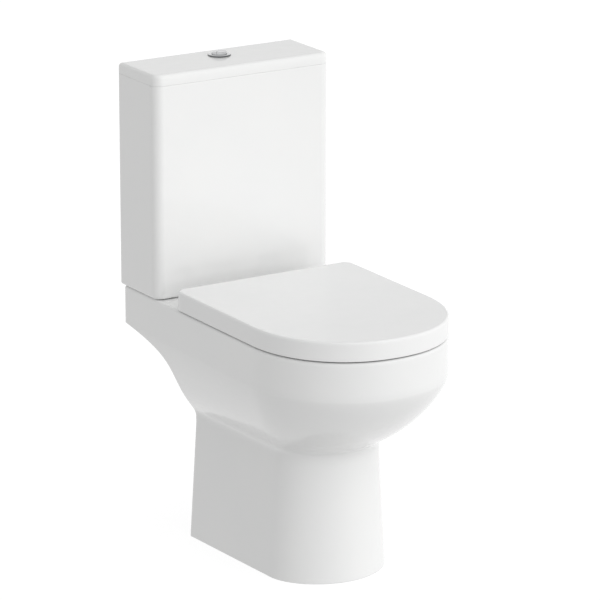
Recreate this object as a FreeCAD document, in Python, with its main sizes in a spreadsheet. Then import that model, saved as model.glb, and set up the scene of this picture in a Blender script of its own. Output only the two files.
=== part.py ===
"""Close coupled toilet: pan, cistern, wrap-over seat, dual flush and fill valves.

Millimetres, +Z up, front towards -Y.  The origin is on the floor, midway
between the sides and midway between the nose of the pan and the cistern's back.
"""
import FreeCAD, Part
import math
import os
import re
import Sketcher

Vector = FreeCAD.Vector
doc = FreeCAD.newDocument("close_coupled_toilet")
NODES = []

# ------------------------------------------------------------------ driving sizes
SIZES = {
    # whole object
    "overall_depth": 644,
    "rim_height": 445,
    "slip_gap": 0.3,
    "thread_gap": 0.1,
    # pan casting
    "pan_width": 360,
    "platform_width": 349,
    "platform_setback": 6,
    "platform_corner": 17,
    "nose_length": 190.5,
    "nose_fullness": 2.13,
    "skirt_height": 69,
    "crease_height": 239,
    "flare_fullness": 1.34,
    "back_sweep": 6.5,
    "foot_width": 228,
    "foot_spread": 10,
    "foot_nose_length": 98,
    "foot_fullness": 1.94,
    "foot_setback": 147,
    "foot_draft": 12.9,
    "foot_back_draft": 4,
    "china_wall": 12,
    "rim_thickness": 23,
    # bowl, trap and flushway
    "bowl_width": 264,
    "bowl_front_margin": 47,
    "bowl_length": 352,
    "bowl_curve": 1.25,
    "sump_height": 205,
    "sump_from_front": 236,
    "sump_ledge": 4,
    "trap_lead": 15,
    "trap_bore": 84,
    "trap_wall": 9,
    "trap_bend": 56,
    "trap_slope": 70,
    "weir_height": 240,
    "outlet_height": 190,
    "outlet_from_back": 62,
    "flushway_bore": 44,
    # cistern
    "cistern_width": 360,
    "cistern_depth": 131,
    "cistern_height": 387,
    "cistern_wall": 11,
    "cistern_floor": 12,
    "front_corner": 17,
    "back_corner": 4,
    "joint_line": 1,
    "recess_height": 22,
    "recess_margin": 16,
    "wall_hole_spacing": 180,
    "wall_hole_radius": 4,
    "wall_hole_drop": 48,
    # cistern lid
    "lid_seam": 0.6,
    "lid_height": 19.4,
    "lid_top_round": 8,
    "lid_plate": 10,
    "lid_edge": 18,
    "lip_drop": 9,
    "lip_wall": 6,
    "lip_clearance": 2,
    # push button
    "button_setback": 47.5,
    "bezel_radius": 20.8,
    "bezel_rise": 3.2,
    "bezel_neck_radius": 16.5,
    "bezel_neck_depth": 26,
    "button_radius": 13,
    "button_rise": 8,
    "button_depth": 16,
    "small_button_reach": 12.4,
    "small_button_radius": 10.4,
    "button_wall": 1.5,
    "housing_depth": 24,
    "rod_radius": 2.5,
    "rod_spacing": 13,
    "rod_guide": 3,
    "spring_radius": 4.2,
    "spring_wire": 0.6,
    "spring_turns": 6,
    # flush valve
    "valve_setback": 65.5,
    "valve_thread_radius": 29.8,
    "valve_flange_radius": 38,
    "valve_flange": 4,
    "washer_thickness": 3,
    "backnut_radius": 40,
    "backnut_height": 11,
    "tower_radius": 30,
    "tower_gap": 61,
    "tower_wall": 2.5,
    "tower_cap": 8,
    "overflow_radius": 14,
    "overflow_wall": 2,
    "overflow_gap": 35,
    "seal_radius": 25,
    "seal_thickness": 3,
    # fill valve
    "inlet_offset": 130,
    "inlet_thread_radius": 10.48,
    "inlet_tail": 85,
    "inlet_thread_length": 25,
    "inlet_groove_width": 2,
    "inlet_groove_depth": 1,
    "inlet_bore": 6,
    "shank_radius": 8.5,
    "shank_height": 205,
    "head_radius": 16,
    "head_height": 32,
    "float_radius": 27,
    "float_height": 58,
    "float_drop": 42,
    "lever_reach": 23,
    "lever_width": 7,
    "lever_thickness": 3,
    "lever_pin_radius": 1.5,
    # coupling of cistern and pan
    "coupling_spacing": 170,
    "coupling_bolt_radius": 4,
    "coupling_bolt_length": 84,
    "gasket_radius": 48,
    # seat
    "hinge_setback": 203,
    "hinge_height": 15,
    "hinge_spacing": 155,
    "hinge_pin_radius": 4.5,
    "barrel_radius": 10,
    "post_width": 18,
    "lug_width": 15,
    "lug_gap": 1,
    "damper_length": 34,
    "damper_radius": 7,
    "cover_radius": 15.5,
    "cover_height": 3.6,
    "lid_gap": 2.5,
    "lid_shell_height": 34.5,
    "lid_wall": 5,
    "lid_edge_round": 4,
    "lid_back_margin": 10,
    "lid_back_corner": 18,
    "ring_gap": 7,
    "ring_thickness": 16,
    "ring_clearance": 3,
    "ring_opening_width": 226,
    "ring_opening_length": 318,
    "ring_front_width": 52,
    "seat_hole_radius": 8,
    "seat_bolt_radius": 4,
    "seat_bolt_length": 64,
    # floor fixing lugs inside the foot
    "floor_lug_length": 44,
    "floor_lug_width": 26,
    "floor_lug_height": 12,
    "floor_hole_radius": 4,
}

# Sizes and places worked out from the driving sizes.
DERIVED = {
    "front_face": "0 - overall_depth / 2",
    "back_face": "overall_depth / 2",
    "skirt_bottom": "rim_height - skirt_height",
    "rim_underside": "rim_height - rim_thickness",
    "hinge_y": "back_face - hinge_setback",
    "hinge_z": "rim_height + hinge_height",
    "hinge_x": "hinge_spacing / 2",
    "cistern_bottom": "rim_height + joint_line",
    "cistern_y": "back_face - cistern_depth / 2",
    "tank_underside": "cistern_bottom + recess_height",
    "tank_floor": "tank_underside + cistern_floor",
    "cistern_top": "cistern_bottom + cistern_height",
    "lid_bottom": "cistern_top + lid_seam",
    "lid_top": "lid_bottom + lid_height",
    "lid_plate_underside": "lid_top - lid_plate",
    "button_y": "back_face - button_setback",
    "button_top": "lid_top + button_rise",
    "button_bottom": "button_top - button_depth",
    "housing_bottom": "lid_top - bezel_neck_depth - housing_depth",
    "housing_floor": "housing_bottom + button_wall * 2",
    "valve_y": "back_face - valve_setback",
    "valve_hole_radius": "valve_thread_radius + slip_gap * 4",
    "flange_bottom": "tank_floor + washer_thickness",
    "flange_top": "flange_bottom + valve_flange",
    "tower_top": "housing_bottom - tower_gap",
    "tower_height": "tower_top - flange_top",
    "overflow_height": "tower_height - overflow_gap",
    "bolt_x": "coupling_spacing / 2",
    "outlet_end": "back_face - outlet_from_back",
    "outlet_radius": "trap_bore / 2 + trap_wall",
    "sump_y": "front_face + sump_from_front",
    "shank_top": "flange_top + shank_height",
    "tail_groove": "tank_floor - inlet_tail + inlet_thread_length",
    "float_bottom": "shank_top - float_drop - float_height",
    "lever_pin_z": "shank_top + head_height / 2",
    "link_x": "inlet_offset + lever_reach + 2",
}


def expression(text):
    """Writes out derived names until only the sheet's cells are left."""
    def swap(word):
        name = word.group(0)
        if name in SIZES:
            return "size." + name
        if name in DERIVED:
            return "(" + expression(DERIVED[name]) + ")"
        return name
    return re.sub(r"[A-Za-z_]\w*", swap, str(text))


sheet = doc.addObject("Spreadsheet::Sheet", "size")
for row, (alias, number) in enumerate(SIZES.items(), start=1):
    sheet.set(f"A{row}", alias)
    sheet.set(f"B{row}", str(number))
    sheet.setAlias(f"B{row}", alias)
doc.recompute()
ruler = doc.addObject("App::FeaturePython", "ruler")


def value(text):
    """The number that a formula on the sheet's cells gives."""
    return float(ruler.evalExpression(expression(text)))


# ------------------------------------------------------------------ shared makers
def bind(thing, **properties):
    """Ties properties of an object to formulas on the sheet's cells."""
    for name, text in properties.items():
        thing.setExpression(name, expression(text))


def place(thing, x=0, y=0, z=0):
    """Ties the place of an object to formulas on the sheet's cells."""
    for axis, text in (("x", x), ("y", y), ("z", z)):
        thing.setExpression("Placement.Base." + axis, expression(text))
    return thing


def node(thing):
    """Counts an object as a finished sub-part."""
    thing.Label = thing.Name
    NODES.append(thing)
    return thing


def polygon(sketch, corners):
    """A closed outline of straight lines whose corners are tied to the sheet."""
    first = sketch.GeometryCount
    count = len(corners)
    points = [Vector(value(a), value(b), 0) for a, b in corners]
    for i in range(count):
        sketch.addGeometry(Part.LineSegment(points[i], points[(i + 1) % count]), False)
    for i, corner in enumerate(corners):
        line, following = first + i, first + (i + 1) % count
        sketch.addConstraint(Sketcher.Constraint("Coincident", line, 2, following, 1))
        for kind, text in zip(("DistanceX", "DistanceY"), corner):
            tie = Sketcher.Constraint(kind, -1, 1, line, 1, value(text))
            number = sketch.addConstraint(tie)
            sketch.setExpression(f"Constraints[{number}]", expression(text))


def sketch_in(part, role, name):
    """A new sketch on one of the body's own origin planes."""
    sketch = part.newObject("Sketcher::SketchObject", name)
    plane = next(face for face in part.Origin.OriginFeatures if face.Role == role)
    sketch.AttachmentSupport = [(plane, "")]
    sketch.MapMode = "FlatFace"
    return sketch


def turned(name, profile, x=0, y=0, z=0):
    """A body turned about an upright axis from (radius, height) corners."""
    part = doc.addObject("PartDesign::Body", name)
    outline = sketch_in(part, "XZ_Plane", name + "_outline")
    polygon(outline, profile)
    turn = part.newObject("PartDesign::Revolution", name + "_turn")
    turn.Profile = outline
    turn.ReferenceAxis = (outline, ["V_Axis"])
    turn.Angle = 360
    outline.Visibility = False
    return place(part, x, y, z)


def tube(name, outer, inner, height, x=0, y=0, z=0):
    """A turned ring or sleeve of one bore."""
    return turned(name, [(inner, 0), (outer, 0), (outer, height), (inner, height)], x, y, z)


def cylinder(name, radius, height, x=0, y=0, z=0, along="z"):
    """A cylinder that starts at the given point and runs along an axis."""
    piece = doc.addObject("Part::Cylinder", name)
    bind(piece, Radius=radius, Height=height)
    turns = {"x": ((0, 1, 0), 90), "y": ((1, 0, 0), -90), "z": ((0, 0, 1), 0)}
    direction, angle = turns[along]
    piece.Placement.Rotation = FreeCAD.Rotation(Vector(*direction), angle)
    return place(piece, x, y, z)


def box(name, length, width, height, x=0, y=0, z=0):
    """A box whose low corner is at the given point."""
    piece = doc.addObject("Part::Box", name)
    bind(piece, Length=length, Width=width, Height=height)
    return place(piece, x, y, z)


def hexagon(name, across_corners, height, x=0, y=0, z=0):
    """A hexagonal prism such as a nut or a bolt head."""
    piece = doc.addObject("Part::Prism", name)
    piece.Polygon = 6
    bind(piece, Circumradius=across_corners, Height=height)
    return place(piece, x, y, z)


def joined(name, pieces):
    """Several pieces fused into one solid."""
    whole = doc.addObject("Part::MultiFuse", name)
    whole.Shapes = pieces
    return whole


def less(name, base, tools):
    """A piece with other shapes cut out of it."""
    rest = doc.addObject("Part::Cut", name)
    rest.Base = base
    rest.Tool = tools[0] if len(tools) == 1 else joined(name + "_tools", tools)
    return rest


def mirrored(name, sources):
    """Pieces and their mirror images across the middle plane, as one group of solids."""
    twins = []
    for source in sources:
        twin = doc.addObject("Part::Mirroring", source.Name + "_twin")
        twin.Source = source
        twin.Base = Vector(0, 0, 0)
        twin.Normal = Vector(1, 0, 0)
        twins.append(twin)
    group = doc.addObject("Part::Compound", name)
    group.Links = sources + twins
    return node(group)


def rounded(part, base, radius, name, chosen):
    """Rounds the edges of a body's feature that a test on the edge picks."""
    doc.recompute()
    edges = [f"Edge{i}" for i, edge in enumerate(base.Shape.Edges, 1) if chosen(edge)]
    feature = part.newObject("PartDesign::Fillet", name)
    feature.Base = (base, edges)
    bind(feature, Radius=radius)
    return feature


def computed(name, shape):
    """A sub-part whose freeform shape is worked out from the sheet's sizes."""
    feature = doc.addObject("Part::Feature", name)
    feature.Shape = shape
    return node(feature)


# ------------------------------------------------------------------ freeform outlines
def nose_curve(half, start, front, fullness, z, lean):
    """Half a superellipse round the nose, whose ends follow sides that lean outwards."""
    steps = 14
    points = []
    for i in range(steps + 1):
        angle = math.pi * i / steps
        across = math.copysign(abs(math.cos(angle)) ** (2 / fullness), math.cos(angle))
        ahead = math.sin(angle) ** (2 / fullness) if 0 < i < steps else 0
        points.append(Vector(half * across, start + (front - start) * ahead, z))
    curve = Part.BSplineCurve()
    curve.interpolate(Points=points, InitialTangent=Vector(-lean, -1, 0), FinalTangent=Vector(-lean, 1, 0))
    return curve.toShape()


def d_outline(half, back_half, start, front, back, corner, fullness, z):
    """A D in plan: a nose, two straight sides and a straight back with round corners."""
    bend = corner * (1 - math.sqrt(0.5))
    side_left, side_right = Vector(-half, start, z), Vector(half, start, z)
    left = Vector(-back_half, back - corner, z)
    right = Vector(back_half, back - corner, z)
    back_left = Vector(-back_half + corner, back, z)
    back_right = Vector(back_half - corner, back, z)
    left_mid = Vector(-back_half + bend, back - bend, z)
    right_mid = Vector(back_half - bend, back - bend, z)
    lean = (back_half - half) / (back - corner - start)
    edges = [
        nose_curve(half, start, front, fullness, z, lean),
        Part.LineSegment(side_left, left).toShape(),
        Part.Arc(left, left_mid, back_left).toShape(),
        Part.LineSegment(back_left, back_right).toShape(),
        Part.Arc(back_right, right_mid, right).toShape(),
        Part.LineSegment(right, side_right).toShape(),
    ]
    return Part.Wire(edges)


def prism(outline, height):
    """A solid pushed straight up from a flat outline."""
    return Part.Face(outline).extrude(Vector(0, 0, height))


def egg_outline(half, middle, front, back, z):
    """A closed oval whose front and back halves have their own lengths."""
    steps = 24
    points = []
    for i in range(steps):
        angle = 2 * math.pi * i / steps
        reach = front - middle if math.cos(angle) > 0 else middle - back
        points.append(Vector(half * math.sin(angle), middle + reach * math.cos(angle), z))
    curve = Part.BSplineCurve()
    curve.interpolate(Points=points, PeriodicFlag=True)
    return Part.Wire([curve.toShape()])


# ------------------------------------------------------------------ pan
def pan_section(z, inset=0, open_back=False):
    """The pan's outline at a height, from the foot through the flare to the skirt."""
    front_face, back_face = value("front_face"), value("back_face")
    crease, skirt = value("crease_height"), value("skirt_bottom")
    level = min(max((z - crease) / (skirt - crease), 0), 1)
    power = value("flare_fullness")
    flare = (1 - (1 - level) ** power) ** (1 / power)
    sweep = level ** value("back_sweep")
    draft = min(max(z / crease, 0), 1)
    setback = value("foot_setback")
    foot_front = front_face + setback + value("foot_draft") * draft
    foot_half = value("foot_width / 2") - value("foot_draft") * draft
    foot_start = front_face + setback + value("foot_nose_length")
    foot_back = back_face - setback - value("foot_back_draft") * draft
    rim_back = back_face - value("platform_setback")

    def between(low, high, share):
        return low + (high - low) * share

    half = between(foot_half, value("pan_width / 2") - 0.5, flare)
    back_half = between(foot_half + value("foot_spread"), value("platform_width / 2"), flare)
    start = between(foot_start, front_face + value("nose_length"), flare)
    front = between(foot_front, front_face, flare)
    back = between(foot_back, rim_back, sweep)
    fullness = between(value("foot_fullness"), value("nose_fullness"), flare)
    if open_back:
        back = back_face + value("platform_setback")
    corner = value("platform_corner")
    return d_outline(half - inset, back_half - inset, start, front + inset, back, corner, fullness, z)


def pan_levels():
    """Heights of the flare's sections, closer together where it turns faster."""
    crease, skirt = value("crease_height"), value("skirt_bottom")
    shares = (0, 0.03, 0.1, 0.22, 0.38, 0.55, 0.7, 0.81, 0.89, 0.95, 1)
    return [crease + (skirt - crease) * share for share in shares]


def pan_envelope():
    """The outside of the casting: foot, flare and upright skirt."""
    crease, skirt = value("crease_height"), value("skirt_bottom")
    foot = Part.makeLoft([pan_section(0), pan_section(crease)], True, True)
    flare = Part.makeLoft([pan_section(z) for z in pan_levels()], True, False)
    band = prism(pan_section(skirt), value("skirt_height"))
    return foot.fuse([flare, band])


def pan_hollow():
    """The hollow inside the casting, open at the floor and at the back."""
    wall = value("china_wall")
    low, crease, skirt = -1, value("crease_height"), value("skirt_bottom")

    def section(z, shown_at):
        outline = pan_section(z, wall, True)
        outline.translate(Vector(0, 0, shown_at - z))
        return outline

    foot = Part.makeLoft([section(0, low), section(crease, crease + wall)], True, True)
    flare = Part.makeLoft([section(z, z + wall) for z in pan_levels()], True, False)
    band = prism(section(skirt, skirt + wall), value("rim_underside") - skirt - wall)
    return foot.fuse([flare, band])


def bowl_shape(thickness, top):
    """The bowl's inside, or with a thickness its outside, from the rim to the sump."""
    rim_half = value("bowl_width / 2")
    rim_front = value("front_face + bowl_front_margin")
    rim_back = rim_front + value("bowl_length")
    sump_radius, sump_y = value("trap_bore / 2 + sump_ledge"), value("sump_y")
    sump_z, rim_z = value("sump_height"), value("rim_height")
    power = value("bowl_curve")
    sections = []
    for depth in (0, 0.15, 0.32, 0.5, 0.68, 0.83, 0.93, 1):
        spread = (1 - depth ** power) ** (1 / power)
        half = sump_radius + (rim_half - sump_radius) * spread + thickness
        front = (sump_y - sump_radius) * (1 - spread) + rim_front * spread - thickness
        back = (sump_y + sump_radius) * (1 - spread) + rim_back * spread + thickness
        middle = (front + back) / 2
        z = rim_z + (sump_z - rim_z) * depth
        sections.append(egg_outline(half, middle, back, front, z))
    shape = Part.makeLoft(sections, True, False)
    if top > 0:
        rim = Part.Face(sections[0]).extrude(Vector(0, 0, top))
        shape = shape.fuse(rim)
    return shape


def trap_path(overrun):
    """Centre line of the trap: down, round the dip, over the weir and out behind."""
    bend = value("trap_bend")
    slope = math.radians(value("trap_slope"))
    y, z = value("sump_y"), value("sump_height")
    crest = value("weir_height + trap_bore / 2")
    outlet = value("outlet_height")
    run, rise = bend * math.sin(slope), bend * (1 - math.cos(slope))

    def arc(centre_y, centre_z, from_angle, to_angle):
        points = []
        for share in (0, 0.5, 1):
            angle = from_angle + (to_angle - from_angle) * share
            points.append(Vector(0, centre_y + bend * math.cos(angle), centre_z + bend * math.sin(angle)))
        return Part.Arc(*points).toShape(), points[0], points[2]

    dip, _, dip_end = arc(y + bend, z, math.pi, 2 * math.pi - (math.pi / 2 - slope))
    climb_top = crest - rise
    climb_run = (climb_top - dip_end.z) / math.tan(slope)
    crest_y = dip_end.y + climb_run + run
    over, over_start, over_end = arc(crest_y, crest - bend, math.pi / 2 + slope, math.pi / 2 - slope)
    fall = (over_end.z - outlet - rise) / math.tan(slope)
    settle_y = over_end.y + fall + run
    settle, settle_start, settle_end = arc(settle_y, outlet + bend, 1.5 * math.pi - slope, 1.5 * math.pi)
    end = Vector(0, value("outlet_end") + overrun, outlet)
    lead = Vector(0, y, z + value("trap_lead"))
    edges = [
        Part.LineSegment(lead, Vector(0, y, z)).toShape(),
        dip,
        Part.LineSegment(dip_end, over_start).toShape(),
        over,
        Part.LineSegment(over_end, settle_start).toShape(),
        settle,
        Part.LineSegment(settle_end, end).toShape(),
    ]
    return Part.Wire(edges)


def trap_tube(radius, overrun):
    """A round tube along the trap's centre line, from a lead inside the bowl."""
    start = Vector(0, value("sump_y"), value("sump_height + trap_lead"))
    ring = Part.Wire([Part.Circle(start, Vector(0, 0, 1), radius).toShape()])
    return trap_path(overrun).makePipeShell([ring], True, False)


def upright(radius, x, y, low, high):
    """An upright cylinder between two heights."""
    return Part.makeCylinder(radius, high - low, Vector(x, y, low))


def flushway(radius):
    """The water's way from the platform's inlet forward to the back of the bowl."""
    y, rim = value("valve_y"), value("rim_height")
    bore = value("flushway_bore / 2")
    level = value("rim_underside") - bore - value("china_wall") / 2
    front = value("front_face + bowl_front_margin + bowl_length - china_wall * 3")
    run = Part.makeCylinder(radius, y - front, Vector(0, front, level), Vector(0, 1, 0))
    ball = Part.makeSphere(radius, Vector(0, y, level))
    return run.fuse([ball, upright(radius, 0, y, level, rim)])


def make_pan():
    """One vitreous china casting with its bowl, trap, flushway and holes."""
    wall = value("china_wall")
    rim, rim_underside = value("rim_height"), value("rim_underside")
    bore = value("flushway_bore / 2")
    lug_height = value("floor_lug_height")
    lug_x = value("foot_width / 2 - china_wall")
    lug_y = value("back_face - foot_setback - floor_lug_length") - wall
    envelope = pan_envelope()
    lug_width = value("floor_lug_width") + wall
    inside = [bowl_shape(wall, 0).common(envelope), trap_tube(value("outlet_radius"), 0)]
    inside.append(flushway(bore + wall))
    for low_x in (-lug_x - wall, lug_x + wall - lug_width):
        inside.append(Part.makeBox(lug_width, value("floor_lug_length"), lug_height, Vector(low_x, lug_y, 0)))
    shell = envelope.cut(pan_hollow())
    body = shell.fuse(inside)
    cuts = [bowl_shape(0, 20), trap_tube(value("trap_bore / 2"), 5), flushway(bore)]
    cuts.append(upright(bore + 6, 0, value("valve_y"), rim - wall, rim + 1))
    for side in (-1, 1):
        cuts.append(upright(value("coupling_bolt_radius") + 2, side * value("bolt_x"),
                            value("cistern_y"), rim_underside - 1, rim + 1))
        cuts.append(upright(value("seat_hole_radius"), side * value("hinge_x"),
                            value("hinge_y"), rim_underside - 1, rim + 1))
        cuts.append(upright(value("floor_hole_radius"), side * floor_screw_x(), floor_screw_y(),
                            -1, lug_height + 1))
    cuts.append(upright(value("inlet_thread_radius") + 6, -value("inlet_offset"), value("cistern_y"),
                        rim_underside - 1, rim + 1))
    return body.cut(cuts).removeSplitter()


def floor_screw_x():
    """Distance of a floor screw from the middle plane."""
    return value("foot_width / 2 - china_wall - floor_lug_width / 2")


def floor_screw_y():
    """Distance of the floor screws behind the origin."""
    return value("back_face - foot_setback - china_wall - floor_lug_length / 2")


computed("pan", make_pan())


# ------------------------------------------------------------------ cistern
def upright_edge(edge, front):
    """True for an upright edge on the front or on the back corners of a body."""
    box_ = edge.BoundBox
    near_front = box_.Center.y < value("cistern_y")
    return box_.ZLength > 1 and box_.XLength < 0.01 and box_.YLength < 0.01 and near_front == front


def block_sketch(part, name, half_width, low_y, high_y):
    """A rectangle on the body's ground plane, even about the middle plane."""
    sketch = sketch_in(part, "XY_Plane", name)
    polygon(sketch, [("0 - (" + half_width + ")", low_y), (half_width, low_y),
                     (half_width, high_y), ("0 - (" + half_width + ")", high_y)])
    return sketch


def pad(part, name, sketch, length, offset=None):
    """Pushes a sketch up by a length, from an offset above its plane."""
    feature = part.newObject("PartDesign::Pad", name)
    feature.Profile = sketch
    bind(feature, Length=length)
    if offset is not None:
        bind(sketch, **{"AttachmentOffset.Base.z": offset})
    return feature


def pocket(part, name, sketch, length, offset):
    """Cuts a sketch downwards by a length, from an offset above its plane."""
    feature = part.newObject("PartDesign::Pocket", name)
    feature.Profile = sketch
    bind(feature, Length=length)
    bind(sketch, **{"AttachmentOffset.Base.z": offset})
    return feature


def drilled(part, name, holes, depth, offset):
    """Cuts round holes, given as (x, y, radius), downwards from an offset."""
    sketch = sketch_in(part, "XY_Plane", name + "_circles")
    for x, y, radius in holes:
        centre = Vector(value(x), value(y), 0)
        ring = sketch.addGeometry(Part.Circle(centre, Vector(0, 0, 1), value(radius)), False)
        ties = (("DistanceX", x), ("DistanceY", y))
        for kind, text in ties:
            number = sketch.addConstraint(Sketcher.Constraint(kind, -1, 1, ring, 3, value(text)))
            sketch.setExpression(f"Constraints[{number}]", expression(text))
        number = sketch.addConstraint(Sketcher.Constraint("Radius", ring, value(radius)))
        sketch.setExpression(f"Constraints[{number}]", expression(radius))
    return pocket(part, name, sketch, depth, offset)


def make_cistern():
    """The tank: hollow from the top, recessed underneath, holed for its fittings."""
    part = doc.addObject("PartDesign::Body", "cistern")
    front, back = "back_face - cistern_depth", "back_face"
    outline = block_sketch(part, "cistern_outline", "cistern_width / 2", front, back)
    block = pad(part, "cistern_block", outline, "cistern_height")
    soft = rounded(part, block, "front_corner", "cistern_front_corners",
                   lambda edge: upright_edge(edge, True))
    soft = rounded(part, soft, "back_corner", "cistern_back_corners",
                   lambda edge: upright_edge(edge, False))
    rounded(part, soft, "back_corner", "cistern_bottom_edge",
            lambda edge: edge.BoundBox.ZMax < 0.01 and edge.BoundBox.Center.y < value("back_face") - 1)
    tank = block_sketch(part, "tank_outline", "cistern_width / 2 - cistern_wall",
                        "(" + front + ") + cistern_wall", "back_face - cistern_wall")
    hollow = pocket(part, "tank_hollow", tank, "cistern_height - recess_height - cistern_floor",
                    "cistern_height")
    rounded(part, hollow, "front_corner - cistern_wall", "tank_corners", tank_corner)
    recess = block_sketch(part, "recess_outline", "cistern_width / 2 - recess_margin",
                          "(" + front + ") + recess_margin", "back_face - recess_margin")
    pocket(part, "recess_hollow", recess, "recess_height + 1", "recess_height")
    holes = [
        ("0", "valve_y", "valve_hole_radius"),
        ("bolt_x", "cistern_y", "coupling_bolt_radius + 1.5"),
        ("0 - bolt_x", "cistern_y", "coupling_bolt_radius + 1.5"),
        ("0 - inlet_offset", "cistern_y", "inlet_thread_radius + 1"),
    ]
    drilled(part, "floor_holes", holes, "cistern_floor + 2", "recess_height + cistern_floor + 1")
    wall_holes = sketch_in(part, "XZ_Plane", "wall_hole_circles")
    for side in ("", "0 - "):
        x, z = side + "wall_hole_spacing / 2", "cistern_height - wall_hole_drop"
        ring = wall_holes.addGeometry(
            Part.Circle(Vector(value(x), value(z), 0), Vector(0, 0, 1), value("wall_hole_radius")), False)
        for kind, text in (("DistanceX", x), ("DistanceY", z)):
            number = wall_holes.addConstraint(Sketcher.Constraint(kind, -1, 1, ring, 3, value(text)))
            wall_holes.setExpression(f"Constraints[{number}]", expression(text))
        number = wall_holes.addConstraint(Sketcher.Constraint("Radius", ring, value("wall_hole_radius")))
        wall_holes.setExpression(f"Constraints[{number}]", expression("wall_hole_radius"))
    bind(wall_holes, **{"AttachmentOffset.Base.z": "0 - (back_face + 1)"})
    bore = part.newObject("PartDesign::Pocket", "wall_holes")
    bore.Profile = wall_holes
    bore.Reversed = True
    bind(bore, Length="cistern_wall + 2")
    place(part, z="cistern_bottom")
    return node(part)


def tank_corner(edge):
    """True for the upright inner corners of the tank."""
    box_ = edge.BoundBox
    inside = abs(box_.Center.x) < value("cistern_width / 2 - cistern_wall") + 0.1
    deep = box_.ZLength > value("cistern_height") / 2 and box_.ZLength < value("cistern_height") - 5
    return inside and deep and box_.XLength < 0.01 and box_.YLength < 0.01


make_cistern()


def make_cistern_lid():
    """The lid: a rounded plate, hollow underneath, with a lip that drops into the tank."""
    part = doc.addObject("PartDesign::Body", "cistern_lid")
    front, back = "back_face - cistern_depth", "back_face"
    outline = block_sketch(part, "lid_outline", "cistern_width / 2", front, back)
    block = pad(part, "lid_block", outline, "lid_height")
    soft = rounded(part, block, "front_corner", "lid_front_corners",
                   lambda edge: upright_edge(edge, True))
    soft = rounded(part, soft, "back_corner", "lid_back_corners",
                   lambda edge: upright_edge(edge, False))
    top = value("lid_height")
    rounded(part, soft, "lid_top_round", "lid_top_edge",
            lambda edge: edge.BoundBox.ZMin > top - 0.01 and edge.BoundBox.Center.y < value("back_face") - 1)
    under = block_sketch(part, "lid_hollow_outline", "cistern_width / 2 - lid_edge",
                         "(" + front + ") + lid_edge", "back_face - lid_edge")
    pocket(part, "lid_hollow", under, "lid_height - lid_plate + 1", "lid_height - lid_plate")
    reach = "cistern_wall + lip_clearance"
    lip = block_sketch(part, "lip_outline", "cistern_width / 2 - " + reach.replace("+", "-"),
                       "(" + front + ") + " + reach, "back_face - " + reach.replace("+", "-"))
    inner = reach + " + lip_wall"
    polygon(lip, [("0 - (cistern_width / 2 - (" + inner + "))", "(" + front + ") + " + inner),
                  ("cistern_width / 2 - (" + inner + ")", "(" + front + ") + " + inner),
                  ("cistern_width / 2 - (" + inner + ")", "back_face - (" + inner + ")"),
                  ("0 - (cistern_width / 2 - (" + inner + "))", "back_face - (" + inner + ")")])
    pad(part, "lid_lip", lip, "lip_drop + 2", "0 - lip_drop")
    drilled(part, "button_hole", [("0", "button_y", "bezel_neck_radius + slip_gap")],
            "lid_height + 2", "lid_height + 1")
    place(part, z="lid_bottom")
    return node(part)


make_cistern_lid()

# ------------------------------------------------------------------ push button
node(turned("button_bezel", [
    ("button_radius + slip_gap", "0 - bezel_neck_depth"), ("bezel_neck_radius", "0 - bezel_neck_depth"),
    ("bezel_neck_radius", "0"), ("bezel_radius", "0"), ("bezel_radius", "1"),
    ("bezel_radius - 1.6", "bezel_rise"), ("button_radius + slip_gap", "bezel_rise"),
], y="button_y", z="lid_top"))

housing = turned("housing_cup", [
    ("0", "0"), ("bezel_neck_radius", "0"), ("bezel_neck_radius", "housing_depth"),
    ("button_radius + slip_gap", "housing_depth"), ("button_radius + slip_gap", "button_wall * 2"),
    ("0", "button_wall * 2"),
], y="button_y", z="housing_bottom")
rod_holes = [
    cylinder("rod_hole_" + end, "rod_radius + slip_gap", "10", "0", "button_y " + offset,
             "housing_bottom - 2")
    for end, offset in (("front", "- rod_spacing / 2"), ("back", "+ rod_spacing / 2"))
]
node(less("button_housing", housing, rod_holes))

node(less("button_nut", cylinder("nut_disc", "bezel_neck_radius + 7", "9",
                                 y="button_y", z="lid_plate_underside - 9"),
          [cylinder("nut_bore", "bezel_neck_radius + thread_gap", "20",
                    y="button_y", z="lid_plate_underside - 14")]))


def button_part(name, small):
    """One part of the round button: the small front one or the crescent behind it."""
    disc = turned(name + "_disc", [
        ("0", "0"), ("button_radius", "0"), ("button_radius", "button_depth - 0.8"),
        ("button_radius - 0.8", "button_depth"), ("0", "button_depth"),
    ], y="button_y", z="button_bottom")
    cutter_radius = "small_button_radius" if small else "small_button_radius + slip_gap"
    cutter_y = "button_y - button_radius + small_button_reach - small_button_radius"
    cutter = cylinder(name + "_cutter", cutter_radius, "button_depth + 4", "0", cutter_y, "button_bottom - 2")
    if not small:
        return node(less(name, disc, [cutter]))
    part = doc.addObject("Part::Common", name)
    part.Base = disc
    part.Tool = cutter
    return node(part)


button_part("half_flush_button", True)
button_part("full_flush_button", False)

ROD_PLACES = (
    ("half_flush_rod", "button_y - rod_spacing / 2"),
    ("full_flush_rod", "button_y + rod_spacing / 2"),
)
for rod_name, rod_y in ROD_PLACES:
    node(cylinder(rod_name, "rod_radius", "button_bottom - tower_top + rod_guide", "0", rod_y,
                  "tower_top - rod_guide"))


def coil(y):
    """A round wire wound into a compression spring about one rod."""
    wire, radius = value("spring_wire"), value("spring_radius")
    low, high = value("housing_floor") + wire, value("button_bottom") - wire
    turns = value("spring_turns")
    path = Part.makeHelix((high - low) / turns, high - low, radius)
    ring = Part.Wire([Part.Circle(Vector(radius, 0, 0), Vector(0, 1, 0), wire).toShape()])
    spring = Part.Wire(path.Edges).makePipeShell([ring], True, True)
    spring.translate(Vector(0, y, low))
    return spring


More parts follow.
